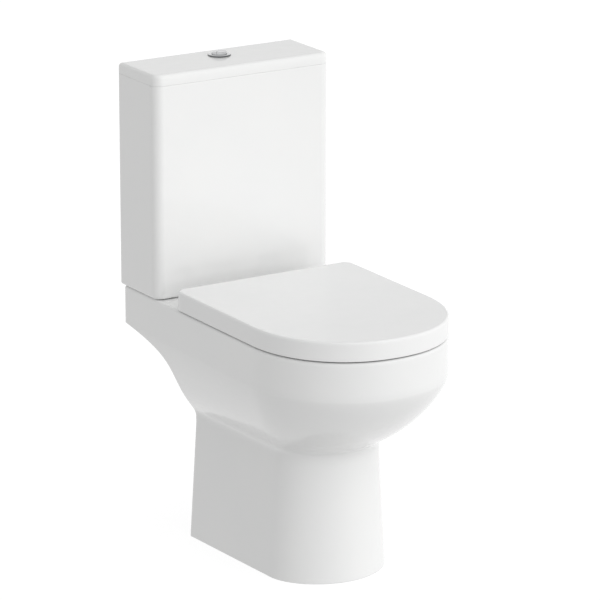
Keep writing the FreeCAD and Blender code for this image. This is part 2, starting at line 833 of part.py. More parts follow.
computed("half_flush_spring", coil(value("button_y - rod_spacing / 2")))
computed("full_flush_spring", coil(value("button_y + rod_spacing / 2")))

# ------------------------------------------------------------------ flush valve
node(turned("valve_base", [
    ("valve_thread_radius - 4", "tank_underside - 16"), ("valve_thread_radius", "tank_underside - 16"),
    ("valve_thread_radius", "flange_bottom"), ("valve_flange_radius", "flange_bottom"),
    ("valve_flange_radius", "flange_top"), ("overflow_radius + 4", "flange_top"),
    ("overflow_radius + 4", "flange_bottom"), ("valve_thread_radius - 4", "flange_bottom - 4"),
], y="valve_y"))
node(tube("valve_washer", "valve_flange_radius", "valve_hole_radius", "washer_thickness",
          y="valve_y", z="tank_floor"))
node(less("valve_backnut", hexagon("backnut_hex", "backnut_radius", "backnut_height",
                                   y="valve_y", z="tank_underside - backnut_height"),
          [cylinder("backnut_bore", "valve_thread_radius + thread_gap", "backnut_height + 4",
                    y="valve_y", z="tank_underside - backnut_height - 2")]))
node(turned("coupling_gasket", [
    ("backnut_radius + slip_gap", "rim_height"), ("gasket_radius", "rim_height"),
    ("gasket_radius", "tank_underside"), ("backnut_radius + slip_gap", "tank_underside"),
], y="valve_y"))

tower = turned("tower_shell", [
    ("tower_radius - tower_wall", "0"), ("tower_radius", "0"), ("tower_radius", "tower_height"),
    ("0", "tower_height"), ("0", "tower_height - tower_cap"),
    ("tower_radius - tower_wall", "tower_height - tower_cap"),
], y="valve_y", z="flange_top")
windows = []
for low, height in (("12", "34"), ("tower_height - 60", "34")):
    for along in ("x", "y"):
        long_side, short_side = "tower_radius * 2 + 4", "tower_radius"
        lengths = (long_side, short_side) if along == "x" else (short_side, long_side)
        windows.append(box(f"window_{along}_{len(windows)}", lengths[0], lengths[1], height,
                           f"0 - ({lengths[0]}) / 2", f"valve_y - ({lengths[1]}) / 2",
                           f"flange_top + {low}"))
rod_guides = [
    cylinder("guide_" + rod_name, "rod_radius + slip_gap", "tower_cap + 4", "0", rod_y,
             "tower_top - tower_cap - 2")
    for rod_name, rod_y in ROD_PLACES
]
node(less("valve_tower", tower, windows + rod_guides))

node(turned("flush_seal", [
    ("overflow_radius + slip_gap", "0"), ("seal_radius", "0"), ("seal_radius", "seal_thickness"),
    ("overflow_radius + slip_gap", "seal_thickness"),
], y="valve_y", z="flange_top + slip_gap"))
node(turned("overflow_tube", [
    ("overflow_radius - overflow_wall", "0"), ("overflow_radius", "0"), ("overflow_radius", "4"),
    ("overflow_radius + 6", "4"), ("overflow_radius + 6", "7"), ("overflow_radius", "7"),
    ("overflow_radius", "overflow_height"), ("overflow_radius - overflow_wall", "overflow_height"),
], y="valve_y", z="flange_top"))

# ------------------------------------------------------------------ fill valve
node(turned("fill_valve_shank", [
    ("inlet_bore", "tank_floor - inlet_tail"), ("inlet_thread_radius", "tank_floor - inlet_tail"),
    ("inlet_thread_radius", "tail_groove"), ("inlet_thread_radius - inlet_groove_depth", "tail_groove"),
    ("inlet_thread_radius - inlet_groove_depth", "tail_groove + inlet_groove_width"),
    ("inlet_thread_radius", "tail_groove + inlet_groove_width"),
    ("inlet_thread_radius", "flange_bottom"), ("inlet_thread_radius + 6", "flange_bottom"),
    ("inlet_thread_radius + 6", "flange_top"), ("shank_radius", "flange_top"),
    ("shank_radius", "shank_top"), ("inlet_bore", "shank_top"),
], x="0 - inlet_offset", y="cistern_y"))
node(tube("fill_valve_washer", "inlet_thread_radius + 6", "inlet_thread_radius + thread_gap",
          "washer_thickness", "0 - inlet_offset", "cistern_y", "tank_floor"))
node(less("fill_valve_nut", hexagon("fill_nut_hex", "inlet_thread_radius + 6", "9",
                                    "0 - inlet_offset", "cistern_y", "tank_underside - 9"),
          [cylinder("fill_nut_bore", "inlet_thread_radius + thread_gap", "20",
                    "0 - inlet_offset", "cistern_y", "tank_underside - 14")]))

lever_x = "0 - inlet_offset - 2"
head = turned("head_drum", [
    ("0", "0"), ("head_radius", "0"), ("head_radius", "head_height"), ("0", "head_height"),
], "0 - inlet_offset", "cistern_y", "shank_top")
slot = box("head_slot", "head_radius * 2", "lever_width + 2", "head_height",
           "0 - inlet_offset - head_radius * 2 + 6", "cistern_y - lever_width / 2 - 1",
           "lever_pin_z - lever_thickness * 4")
pin_bore = cylinder("lever_pin_bore", "lever_pin_radius + thread_gap / 2", "head_radius * 3",
                    lever_x, "cistern_y - head_radius * 1.5", "lever_pin_z", "y")
node(less("fill_valve_head", head, [slot, pin_bore]))
node(cylinder("lever_pin", "lever_pin_radius", "head_radius * 1.6", lever_x,
              "cistern_y - head_radius * 0.8", "lever_pin_z", "y"))

arm = box("lever_arm", "lever_reach + 6", "lever_width", "lever_thickness",
          lever_x + " - lever_reach - 6", "cistern_y - lever_width / 2", "lever_pin_z - lever_thickness / 2")
eye = cylinder("lever_eye", "lever_pin_radius + 2", "lever_width", lever_x,
               "cistern_y - lever_width / 2", "lever_pin_z", "y")
eye_bore = cylinder("lever_eye_bore", "lever_pin_radius + thread_gap / 2", "lever_width + 4", lever_x,
                    "cistern_y - lever_width / 2 - 2", "lever_pin_z", "y")
node(less("float_lever", joined("lever_blank", [arm, eye]), [eye_bore]))

cup = turned("float_cup", [
    ("shank_radius + slip_gap * 2", "0"), ("float_radius", "0"), ("float_radius", "float_height"),
    ("shank_radius + slip_gap * 2", "float_height"),
], "0 - inlet_offset", "cistern_y", "float_bottom")
link_tip = "lever_pin_z - lever_thickness / 2 - slip_gap"
link = turned("float_link", [
    ("0", "float_bottom + float_height - 4"), ("lever_pin_radius", "float_bottom + float_height - 4"),
    ("lever_pin_radius", link_tip + " - lever_pin_radius"), ("0.2", link_tip), ("0", link_tip),
], "0 - link_x", "cistern_y")
node(joined("float", [cup, link]))

# ------------------------------------------------------------------ coupling of cistern and pan
CONE = "9"
bolt = turned("coupling_bolt_right", [
    ("0", "0 - coupling_bolt_length"), ("coupling_bolt_radius", "0 - coupling_bolt_length"),
    ("coupling_bolt_radius", "0"), ("8", "0"), ("8", "4"), ("0", "4"),
], "bolt_x", "cistern_y", "tank_floor + " + CONE)
mirrored("coupling_bolts", [bolt])
cone = turned("coupling_cone_right", [
    ("coupling_bolt_radius + thread_gap", "0"), ("11", "0"), ("8", CONE),
    ("coupling_bolt_radius + thread_gap", CONE),
], "bolt_x", "cistern_y", "tank_floor")
mirrored("coupling_cone_washers", [cone])
mirrored("coupling_plate_washers", [
    tube("coupling_plate_right", "14", "coupling_bolt_radius + thread_gap", "washer_thickness",
         "bolt_x", "cistern_y", "rim_underside - washer_thickness")])


def wing_nut(name, bore, x, y, top):
    """A wing nut below a height: a tapered hub with two wings, bored for its bolt."""
    hub = turned(name + "_hub", [("0", "0"), ("7", "0"), ("9", "12"), ("0", "12")],
                 x, y, f"({top}) - 12")
    wings = box(name + "_wings", "36", "3.5", "12", f"{x} - 18", f"{y} - 1.75", f"({top}) - 15")
    hole = cylinder(name + "_hole", bore, "20", x, y, f"({top}) - 17")
    return less(name, joined(name + "_blank", [hub, wings]), [hole])


mirrored("coupling_wing_nuts", [
    wing_nut("coupling_wing_right", "coupling_bolt_radius + thread_gap", "bolt_x", "cistern_y",
             "rim_underside - washer_thickness")])

# ------------------------------------------------------------------ seat
def lid_outline(inset, z):
    """The seat lid's D outline, drawn in by an inset."""
    front = value("front_face") + inset
    start = value("front_face + nose_length")
    back = value("hinge_y + lid_back_margin") - inset
    half = value("pan_width / 2") - inset
    corner = max(value("lid_back_corner") - inset, 2)
    return d_outline(half, half, start, front, back, corner, value("nose_fullness"), z)


def along_x(radius, low, high, y, z):
    """A cylinder along X between two distances from the middle plane."""
    return Part.makeCylinder(radius, high - low, Vector(low, y, z), Vector(1, 0, 0))


def both_sides(shapes):
    """Shapes and their mirror images across the middle plane."""
    twins = [shape.mirror(Vector(0, 0, 0), Vector(1, 0, 0)) for shape in shapes]
    return shapes + twins


def hinge_spans():
    """Low and high X of the right hinge's lid lug, post and ring lug, outwards."""
    middle, half_post = value("hinge_x"), value("post_width / 2")
    gap, lug = value("lug_gap"), value("lug_width")
    return {
        "lid": (middle - half_post - gap - lug, middle - half_post - gap),
        "post": (middle - half_post, middle + half_post),
        "ring": (middle + half_post + gap, middle + half_post + gap + lug),
        "damper": (middle - half_post - gap - lug - value("damper_length"), middle - half_post - gap - lug),
    }


def make_seat_lid():
    """The wrap-over lid: a thin shell with lugs on the hinge pins."""
    y, z = value("hinge_y"), value("hinge_z")
    low = value("rim_height + lid_gap")
    top = low + value("lid_shell_height")
    wall, radius = value("lid_wall"), value("barrel_radius")
    bore = value("hinge_pin_radius + thread_gap / 2")
    shell = prism(lid_outline(0, low), top - low)
    edges = [edge for edge in shell.Edges if edge.BoundBox.ZMin > top - 0.01]
    shell = shell.makeFillet(value("lid_edge_round"), edges)
    shell = shell.cut(prism(lid_outline(wall, low - 1), top - low + 1 - wall))
    spans = hinge_spans()
    back = value("hinge_y + lid_back_margin")
    swing = value("hinge_height") - 2 * value("slip_gap")
    heel = Part.makeBox(400, 60, z - low + 1, Vector(-200, y, low - 1))
    heel = heel.cut(along_x(swing, -200, 200, y, z))
    reach = spans["ring"][1] + 8
    doorway = Part.makeBox(2 * reach, 40, top - wall - low + 1, Vector(-reach, y, low - 1))
    shell = shell.cut([heel, doorway])
    lugs = []
    low_x, high_x = spans["lid"]
    lugs.append(along_x(radius, low_x, high_x, y, z))
    web_top = top - wall + 0.5
    lugs.append(Part.makeBox(high_x - low_x, 2 * radius, web_top - z, Vector(low_x, y - radius, z)))
    shell = shell.fuse(both_sides(lugs))
    shell = shell.cut(both_sides([along_x(bore, low_x - 1, high_x + 1, y, z)]))
    damper_low, damper_high = spans["damper"]
    case = along_x(radius, damper_low, damper_high, y, z)
    web = Part.makeBox(damper_high - damper_low, 2 * radius, web_top - z, Vector(damper_low, y - radius, z))
    case = case.fuse(web)
    case = case.cut(along_x(value("damper_radius + thread_gap / 2"), damper_low - 1, damper_high, y, z))
    shell = shell.fuse(case)
    return shell.cut(along_x(bore, damper_low, high_x + 1, y, z)).removeSplitter()


def ring_opening(z, height):
    """The hole in the seat ring."""
    front = value("front_face + ring_front_width")
    back = front + value("ring_opening_length")
    half = value("ring_opening_width / 2")
    middle = back - half
    return Part.Face(egg_outline(half, middle, back, front, z)).extrude(Vector(0, 0, height))


def make_seat_ring():
    """The ring under the lid: rounded edges, a hole, and lugs on the hinge pins."""
    y, z = value("hinge_y"), value("hinge_z")
    low = value("rim_height + ring_gap")
    height = value("ring_thickness")
    inset = value("lid_wall + ring_clearance")
    radius = value("barrel_radius")
    bore = value("hinge_pin_radius + thread_gap / 2")
    blank = prism(lid_outline(inset, low), height)
    blank = blank.cut(ring_opening(low - 1, height + 2))
    edges = [edge for edge in blank.Edges if edge.BoundBox.ZMin > low + height - 0.01]
    blank = blank.makeFillet(value("ring_thickness / 4"), edges)
    clear = radius + 4
    blank = blank.cut(Part.makeBox(400, 100, 60, Vector(-200, y - clear, low - 10)))
    spans = hinge_spans()
    low_x, high_x = spans["ring"]
    lug = along_x(radius, low_x, high_x, y, z)
    arm = Part.makeBox(high_x - low_x, clear + 2, height - 4, Vector(low_x, y - clear - 2, low + 1))
    lug = lug.fuse(arm.cut(along_x(radius - 1, low_x - 1, high_x + 1, y, z)))
    damper_low, damper_high = (-x for x in reversed(spans["damper"]))
    damper_low += value("lug_gap")
    case = along_x(radius, damper_low, damper_high, y, z)
    arm = Part.makeBox(damper_high - damper_low, clear + 2, height - 4,
                       Vector(damper_low, y - clear - 2, low + 1))
    case = case.fuse(arm.cut(along_x(radius - 1, damper_low - 1, damper_high + 1, y, z)))
    ring = blank.fuse(both_sides([lug]) + [case])
    cartridge = along_x(value("damper_radius + thread_gap / 2"), damper_low - 1, damper_high + 1, y, z)
    return ring.cut(both_sides([along_x(bore, low_x - 1, high_x + 1, y, z)]) + [cartridge]).removeSplitter()


computed("seat_lid", make_seat_lid())
computed("seat_ring", make_seat_ring())

PIN_START = "hinge_x - post_width / 2 - lug_gap - lug_width - damper_length + 2"
PIN_END = "hinge_x + post_width / 2 + lug_gap + lug_width - 1"
post_block = box("post_block", "post_width", "barrel_radius * 2", "hinge_height - cover_height",
                 "hinge_x - post_width / 2", "hinge_y - barrel_radius", "rim_height + cover_height")
post_barrel = cylinder("post_barrel", "barrel_radius", "post_width",
                       "hinge_x - post_width / 2", "hinge_y", "hinge_z", "x")
post_bores = [
    cylinder("post_pin_bore", "hinge_pin_radius + thread_gap / 2", "post_width + 4",
             "hinge_x - post_width / 2 - 2", "hinge_y", "hinge_z", "x"),
    cylinder("post_bolt_bore", "seat_bolt_radius + thread_gap / 2", "hinge_height", "hinge_x", "hinge_y",
             "rim_height - 5"),
]
post = less("hinge_post_right", joined("post_blank", [post_block, post_barrel]), post_bores)
mirrored("hinge_posts", [post])
mirrored("hinge_covers", [tube("hinge_cover_right", "cover_radius", "seat_bolt_radius + thread_gap",
                               "cover_height", "hinge_x", "hinge_y", "rim_height")])
mirrored("hinge_pins", [cylinder("hinge_pin_right", "hinge_pin_radius", PIN_END + " - (" + PIN_START + ")",
                                 PIN_START, "hinge_y", "hinge_z", "x")])


def damper(name, start):
    """A soft-close cartridge round the inner end of a hinge pin."""
    case = cylinder(name + "_case", "damper_radius", "damper_length - 2", start, "hinge_y", "hinge_z", "x")
    bore = cylinder(name + "_bore", "hinge_pin_radius + thread_gap / 2", "damper_length + 4",
                    start + " - 2", "hinge_y", "hinge_z", "x")
    return node(less(name, case, [bore]))


damper("lid_damper", PIN_START)
damper("seat_damper", "0 - (" + PIN_START + ") - damper_length + 2")

mirrored("seat_bolts", [cylinder("seat_bolt_right", "seat_bolt_radius", "seat_bolt_length",
                                 "hinge_x", "hinge_y", "rim_height + 9 - seat_bolt_length")])
mirrored("seat_cone_washers", [turned("seat_cone_right", [
    ("seat_bolt_radius + thread_gap", "0"), ("12", "0"), ("12", "6"), ("seat_hole_radius - 0.5", "6"),
    ("seat_hole_radius - 0.5", "14"), ("seat_bolt_radius + thread_gap", "14"),
], "hinge_x", "hinge_y", "rim_underside - 6")])
mirrored("seat_wing_nuts", [
    wing_nut("seat_wing_right", "seat_bolt_radius + thread_gap", "hinge_x", "hinge_y", "rim_underside - 6")])

ring_bumpers = [
    cylinder(f"ring_bumper_{end}", "7", "ring_gap - slip_gap", "pan_width / 2 - 30", y,
             "rim_height + slip_gap")
    for end, y in (("front", "front_face + nose_length - 30"), ("back", "hinge_y - 60"))
]
mirrored("seat_bumpers", ring_bumpers)
lid_bumper_height = "lid_gap + lid_shell_height - lid_wall - ring_gap - ring_thickness - slip_gap"
lid_bumpers = [
    cylinder(f"lid_bumper_{end}", "6", lid_bumper_height, "pan_width / 2 - 34", y,
             "rim_height + ring_gap + ring_thickness + slip_gap")
    for end, y in (("front", "front_face + nose_length - 45"), ("back", "hinge_y - 75"))
]
mirrored("lid_bumpers", lid_bumpers)

# ------------------------------------------------------------------ checks and files
doc.recompute()
for thing in doc.Objects:
    if "Invalid" in thing.State or "Error" in thing.State:
        raise RuntimeError(f"{thing.Name} failed: {thing.State}")
for part in NODES:
    if part.Shape.isNull() or not part.Shape.isValid() or not part.Shape.Solids:
        raise RuntimeError(f"{part.Label} has no valid solid")
os.makedirs("parts", exist_ok=True)
for part in NODES:
    part.Shape.exportStep(f"parts/{part.Label}.step")
print(f"{len(NODES)} nodes")
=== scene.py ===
"""Looks of a close coupled toilet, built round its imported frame.

Shape functions work in millimetres on the frame's axes: +X to the right, -Y to
the front, +Z up.  Their grids become metres when a mesh is made.
"""

import math

import bmesh
import bpy
import numpy as np
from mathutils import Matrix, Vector


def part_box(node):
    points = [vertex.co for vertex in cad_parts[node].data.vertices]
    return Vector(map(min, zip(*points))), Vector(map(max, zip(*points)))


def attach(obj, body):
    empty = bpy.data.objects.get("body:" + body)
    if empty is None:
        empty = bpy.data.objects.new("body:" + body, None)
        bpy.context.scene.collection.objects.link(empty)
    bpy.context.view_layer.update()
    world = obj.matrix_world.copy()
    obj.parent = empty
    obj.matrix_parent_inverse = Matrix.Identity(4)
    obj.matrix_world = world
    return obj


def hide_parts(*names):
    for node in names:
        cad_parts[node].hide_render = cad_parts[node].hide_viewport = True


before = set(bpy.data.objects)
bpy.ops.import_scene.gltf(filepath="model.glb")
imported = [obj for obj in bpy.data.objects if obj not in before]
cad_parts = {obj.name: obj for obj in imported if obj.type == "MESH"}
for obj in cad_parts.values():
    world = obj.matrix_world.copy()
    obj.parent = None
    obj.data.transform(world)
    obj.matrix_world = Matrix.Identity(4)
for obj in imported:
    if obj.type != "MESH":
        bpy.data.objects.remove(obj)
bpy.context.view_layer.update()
scene = bpy.context.scene

# ------------------------------------------------------------------ camera
AIM = Vector((0.0046, 0.0092, 0.4651))
AZIMUTH = math.radians(31.706)
ELEVATION = math.radians(16.388)
DISTANCE = 7.443
LENS = 254.9

camera = bpy.data.objects.new("camera", bpy.data.cameras.new("camera"))
scene.collection.objects.link(camera)
scene.camera = camera
sight = Vector((math.sin(AZIMUTH) * math.cos(ELEVATION),
                math.cos(AZIMUTH) * math.cos(ELEVATION), -math.sin(ELEVATION)))
camera.location = AIM - sight * DISTANCE
camera.rotation_mode = "QUATERNION"
camera.rotation_quaternion = sight.to_track_quat("-Z", "Y")
camera.data.lens = LENS
camera.data.sensor_width = 36
camera.data.clip_start, camera.data.clip_end = 0.1, 200

# ------------------------------------------------------------------ sizes
# Places and outer sizes come from the frame; the numbers below are millimetres.
MM = 1000.0


def corners(node):
    """Lowest and highest corner of a CAD node at rest, in millimetres."""
    low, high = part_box(node)
    return np.array(low) * MM, np.array(high) * MM


pan_low, pan_high = corners("pan")
tank_low, tank_high = corners("cistern")
cover_low, cover_high = corners("cistern_lid")
lid_low, lid_high = corners("seat_lid")
bezel_low, bezel_high = corners("button_bezel")
button_low, button_high = corners("full_flush_button")
pin_low, pin_high = corners("hinge_pins")
base_low, base_high = corners("valve_base")
inlet_low, inlet_high = corners("fill_valve_shank")

SIDES = (-1, 1)

# The pan's outside: REAR is the wall plane, the foot turns into the flare at CREASE
# and the flare into the skirt at SKIRT.
RIM = pan_high[2]
FRONT = pan_low[1]
REAR = tank_high[1]
CREASE = 239.0
SKIRT = RIM - 69.0
CREASE_SOFTNESS = 5.0
FLARE_POWER = 1.34
SWEEP_POWER = 6.5
FOOT_HALF, FOOT_DRAFT, FOOT_SPREAD = 114.0, 12.9, 10.0
FOOT_SETBACK, FOOT_NOSE = 147.0, 245.0
FOOT_GAP, BACK_DRAFT = 141.0, 4.0
FOOT_FULLNESS, RIM_FULLNESS = 1.94, 2.13
SHELF_HALF = 177.0
NOSE_LENGTH = 190.5
PAN_CORNER = 7.0

# The pan's inside: the shelf under the cistern, the bowl, and the radii of the ways.
WALL = 12.0
RIM_DEPTH = 23.0
SUMP = 205.0
SUMP_Y = FRONT + 236.0
SUMP_RADIUS = 46.0
BOWL_HALF, BOWL_FRONT, BOWL_LENGTH = 132.0, FRONT + 47, 352.0
BOWL_POWER = 1.25
MOUTH_ROUND = 7.0
TRAP_OUTSIDE, TRAP_WAY = 51.0, 42.0
FLUSH_OUTSIDE, FLUSH_WAY = 34.0, 22.0
FOOT_LUG_X, FOOT_LUG_Y = 89.0, 141.0

# Where the fittings sit.
HINGE_Y = (pin_low[1] + pin_high[1]) / 2
HINGE_Z = (pin_low[2] + pin_high[2]) / 2
HINGE_X = 77.5
BUTTON_Y = (bezel_low[1] + bezel_high[1]) / 2
VALVE_Y = (base_low[1] + base_high[1]) / 2
TANK_Y = (inlet_low[1] + inlet_high[1]) / 2
BOLT_X = 85.0
INLET_X = (inlet_low[0] + inlet_high[0]) / 2

# The cistern's corners and the seam under its lid.
TANK_CORNER, TANK_BACK_CORNER = 17.0, 4.0
SEAM, SEAM_EDGE = 0.15, 0.3

# The push button: the small part reaches back from the button's front edge.
BUTTON_RADIUS = 13.0
SMALL_RADIUS = 10.4
SMALL_REACH = 12.4
SMALL_Y = BUTTON_Y - BUTTON_RADIUS + SMALL_REACH - SMALL_RADIUS

# The seat's hinge line: distances of the lugs from the middle plane, and radii.
LUG_SPANS = {"lid": (52.5, 67.5), "ring": (87.5, 102.5), "damper": (20.5, 52.5)}
LUG_RADIUS, WEB_HALF, HEEL_RADIUS = 10.0, 9.9, 14.4
PIN_BORE, DAMPER_BORE = 4.55, 7.05
SEAT_CORNER = 18.0
RING_TOP, RING_THICKNESS, RING_INSET = 468.0, 16.0, 8.0
BEYOND = 200.0


# ------------------------------------------------------------------ meshes from grids
def skin(name, grid):
    """One piece from a grid of rings: each column runs on to the next round a ring."""
    rows, columns = grid.shape[:2]
    row = np.arange(rows - 1)[:, None] * columns
    column = np.arange(columns)[None, :]
    after = (column + 1) % columns
    quads = np.stack([row + column, row + after, row + columns + after,
                      row + columns + column], axis=-1)
    mesh = bpy.data.meshes.new(name)
    mesh.from_pydata((grid.reshape(-1, 3) / MM).tolist(), [], quads.reshape(-1, 4).tolist())
    work = bmesh.new()
    work.from_mesh(mesh)
    bmesh.ops.remove_doubles(work, verts=work.verts, dist=2e-7)
    bmesh.ops.recalc_face_normals(work, faces=work.faces)
    work.to_mesh(mesh)
    work.free()
    piece = bpy.data.objects.new(name, mesh)
    scene.collection.objects.link(piece)
    return piece


def solid(name, grid):
    """A closed skin: the first and last rings are drawn in to their own middles."""
    ends = [np.broadcast_to(grid[i].mean(axis=0), grid[i].shape)[None] for i in (0, -1)]
    return skin(name, np.concatenate([ends[0], grid, ends[1]]))


def merged(piece, operation, tools):
    """A piece cut by, joined to or kept within other solids, as one mesh."""
    for tool in tools:
        step = piece.modifiers.new("merge", "BOOLEAN")
        step.operation, step.solver, step.object = operation, "MANIFOLD", tool
    graph = bpy.context.evaluated_depsgraph_get()
    result = bpy.data.meshes.new_from_object(piece.evaluated_get(graph))
    if not result.polygons:
        raise RuntimeError(f"{piece.name} came out empty")
    piece.modifiers.clear()
    piece.data = result
    for tool in tools:
        bpy.data.objects.remove(tool)
    return piece


def cut(piece, *tools):
    return merged(piece, "DIFFERENCE", tools)


def join(piece, *tools):
    return merged(piece, "UNION", tools)


def within(piece, tool):
    return merged(piece, "INTERSECT", [tool])


def quarter_round(radius, steps=7):
    """Inset and rise of a quarter circle that goes from upright to flat."""
    turn = np.linspace(0, np.pi / 2, steps + 1)
    return radius * (1 - np.cos(turn)), radius * np.sin(turn)


def eased(low, high, bottom, top, between):
    """Heights and insets of a block's rings: a rounded foot, the heights between, a
    rounded top."""
    foot_in, foot_rise = quarter_round(bottom)
    head_in, head_rise = quarter_round(top)
    z = np.concatenate([[low], (low + bottom - foot_rise)[::-1], between,
                        high - top + head_rise, [high]])
    inset = np.concatenate([[foot_in[-1] + 0.5], foot_in[::-1], 0 * np.asarray(between),
                            head_in, [head_in[-1] + 0.5]])
    return z, inset


# Shares along a straight side, with a point close to each end so that the
# shading of the flat stays flat.
SIDE = np.array([0.008, 0.12, 0.35, 0.65, 0.88, 0.992])


def as_columns(*values):
    """Numbers and lists as columns of one length, a row for each ring."""
    lists = [np.atleast_1d(np.asarray(value, float)) for value in values]
    return [column[:, None] for column in np.broadcast_arrays(*lists)]


def rings(x, y, z):
    """Puts plan outlines at their heights."""
    return np.stack([x, y, np.broadcast_to(z, x.shape)], axis=-1)


def d_rings(z, half, back_half, start, front, back, corner, fullness):
    """D outlines in plan, one for each height: the nose is half a superellipse of
    half-width half reaching front, then straight sides run from start to the round
    corners of a straight back."""
    z, half, back_half, start, front, back, corner, fullness = as_columns(
        z, half, back_half, start, front, back, corner, fullness)
    turn = np.linspace(np.pi, 2 * np.pi, 113)
    across = np.sign(np.cos(turn)) * np.abs(np.cos(turn)) ** (2 / fullness)
    ahead = np.abs(np.sin(turn)) ** (2 / fullness)
    bend = np.linspace(0, np.pi / 2, 9)
    right_x = np.hstack([half + (back_half - half) * SIDE,
                         back_half - corner + corner * np.cos(bend)])
    right_y = np.hstack([start + (back - corner - start) * SIDE,
                         back - corner + corner * np.sin(bend)])
    back_x = (back_half - corner) * (1 - 2 * SIDE)
    x = np.hstack([half * across, right_x, back_x, -right_x[:, ::-1]])
    y = np.hstack([start - (start - front) * ahead, right_y, back + 0 * back_x,
                   right_y[:, ::-1]])
    return rings(x, y, z)


def block_rings(z, inset, half, front, back, front_corner, back_corner):
    """Rounded rectangles in plan, each drawn in by its inset."""
    z, inset = as_columns(z, inset)
    bend = np.linspace(0, np.pi / 2, 9)
    near = np.maximum(front_corner - inset, 0.3)
    far = np.maximum(back_corner - inset, 0.3)
    side, low, high = half - inset, front + inset, back - inset
    front_x = (side - near) * (2 * SIDE - 1)
    x_front = side - near + near * np.sin(bend)
    y_front = low + near - near * np.cos(bend)
    y_side = low + near + (high - far - low - near) * SIDE
    x_back = side - far + far * np.cos(bend)
    y_back = high - far + far * np.sin(bend)
    right_x = np.hstack([x_front, side + 0 * y_side, x_back])
    right_y = np.hstack([y_front, y_side, y_back])
    back_x = (side - far) * (1 - 2 * SIDE)
    x = np.hstack([front_x, right_x, back_x, -right_x[:, ::-1]])
    y = np.hstack([low + 0 * front_x, right_y, high + 0 * back_x, right_y[:, ::-1]])
    return rings(x, y, z)


def oval_rings(z, half, front, middle, back, count=144):
    """Ovals in plan whose front and back halves have their own lengths."""
    z, half, front, middle, back = as_columns(z, half, front, middle, back)
    turn = np.linspace(0, 2 * np.pi, count, endpoint=False)
    reach = np.where(np.sin(turn) > 0, back - middle, middle - front)
    return rings(half * np.cos(turn), middle + reach * np.sin(turn), z)


def turned_rings(profile, x, y, count=96):
    """A profile of (radius, height) points turned about an upright axis."""
    profile = np.asarray(profile, float)
    turn = np.linspace(0, 2 * np.pi, count, endpoint=False)
    radius, z = profile[:, :1], profile[:, 1:]
    return rings(x + radius * np.cos(turn), y + radius * np.sin(turn), z)


def drill(radius, x, y, low, high, count=64):
    """An upright cylinder to cut a hole with."""
    return solid("drill", turned_rings([(radius, low), (radius, high)], x, y, count))


def hinge_rod(radius, low, high, count=64):
    """A cylinder on the hinge line between two distances from the middle plane."""
    turn = np.linspace(0, 2 * np.pi, count, endpoint=False)
    y, z = HINGE_Y + radius * np.cos(turn), HINGE_Z + radius * np.sin(turn)
    ends = [np.stack([np.full(count, float(x)), y, z], axis=-1) for x in (low, high)]
    return solid("rod", np.stack(ends))


def brick(low, high):
    """A square block to cut or join with."""
    x = np.array([[low[0], high[0], high[0], low[0]]])
    y = np.array([[low[1], low[1], high[1], high[1]]])
    return solid("brick", np.concatenate([rings(x, y, low[2]), rings(x, y, high[2])]))


def tube(line, radius, count=72):
    """A round tube that follows a line of (y, z) points in the middle plane."""
    slope = np.gradient(line, axis=0)
    slope /= np.linalg.norm(slope, axis=1)[:, None]
    turn = np.linspace(0, 2 * np.pi, count, endpoint=False)
    across = radius * np.cos(turn)
    out = radius * np.sin(turn)
    y = line[:, :1] - slope[:, 1:] * out
    z = line[:, 1:] + slope[:, :1] * out
    return solid("tube", np.stack([np.broadcast_to(across, y.shape), y, z], axis=-1))


def arc(centre, radius, start, end, steps=20):
    """Points of a circular bend in the middle plane, angles in degrees."""
    turn = np.radians(np.linspace(start, end, steps))[:, None]
    return np.asarray(centre) + radius * np.hstack([np.cos(turn), np.sin(turn)])


# ------------------------------------------------------------------ pan
def pan_rings(z, inset=0.0, open_back=False, source=None):
    """The pan in plan at each height.  A level that rises from 0 at the crease to 1 at
    the skirt, softened where it starts, takes every length of the outline from the
    foot's to the rim's along an S; the back follows later, by a high power of it."""
    z = np.atleast_1d(np.asarray(z, float))
    height = z if source is None else source
    level = (CREASE_SOFTNESS * np.logaddexp(0, (height - CREASE) / CREASE_SOFTNESS)
             / (SKIRT - CREASE))
    level = np.clip(level, 0, 1)
    flare = (1 - (1 - level) ** FLARE_POWER) ** (1 / FLARE_POWER)
    sweep = level ** SWEEP_POWER
    draft = np.clip(height / CREASE, 0, 1)
    foot_half = FOOT_HALF - FOOT_DRAFT * draft
    half = foot_half + (-pan_low[0] - foot_half) * flare
    back_half = foot_half + FOOT_SPREAD + (SHELF_HALF - foot_half - FOOT_SPREAD) * flare
    start = FRONT + FOOT_NOSE + (NOSE_LENGTH - FOOT_NOSE) * flare
    front = FRONT + (FOOT_SETBACK + FOOT_DRAFT * draft) * (1 - flare)
    back = REAR - FOOT_GAP - BACK_DRAFT * draft
    back = back + (pan_high[1] - back) * sweep
    back = np.full_like(back, REAR + 10) if open_back else back - inset
    fullness = FOOT_FULLNESS + (RIM_FULLNESS - FOOT_FULLNESS) * flare
    return d_rings(z, half - inset, back_half - inset, start, front + inset, back,
                   np.maximum(PAN_CORNER - inset, 3), fullness)


def pan_outside():
    """Foot, flare and skirt with eased edges."""
    foot = np.linspace(4, CREASE - 28, 7)
    crease = np.linspace(CREASE - 24, CREASE + 4, 24)
    flare = CREASE + 4 + (SKIRT - CREASE - 4) * np.linspace(0, 1, 52)[1:] ** 1.3
    skirt = np.linspace(SKIRT, RIM - 8, 6)[1:]
    z, inset = eased(0, RIM, 2.0, 5.0, np.concatenate([foot, crease, flare, skirt]))
    return solid("pan", pan_rings(z, inset))


